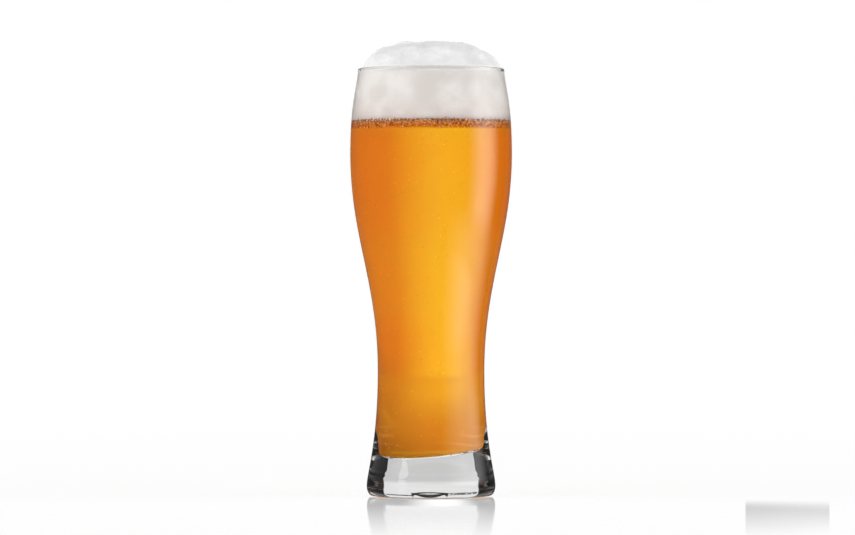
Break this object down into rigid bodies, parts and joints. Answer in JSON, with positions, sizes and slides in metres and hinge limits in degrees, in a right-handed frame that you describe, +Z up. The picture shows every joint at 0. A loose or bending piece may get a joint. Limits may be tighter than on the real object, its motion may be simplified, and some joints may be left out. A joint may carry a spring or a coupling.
{
  "type": "beer glass",
  "caption": "Tall clear drinking glass with a heavy solid base, narrow waist and full belly, holding amber beer under a crown of white foam.",
  "frame": {"origin": "on the axis of the glass, in the plane of the bearing ring that it stands on", "axes": "+Z up along the axis of the glass, +Y away from the viewer, +X to the right"},
  "size_m": [0.0816, 0.0816, 0.2294],
  "materials": {
    "clear_glass": "polished",
    "beer": "polished",
    "bubble_layer": "satin",
    "foam": "matte"
  },
  "bodies": {
    "root": {"glass": "clear_glass", "beer": "beer", "bubble_layer": "bubble_layer", "foam_head": "foam"}
  },
  "joints": []
}
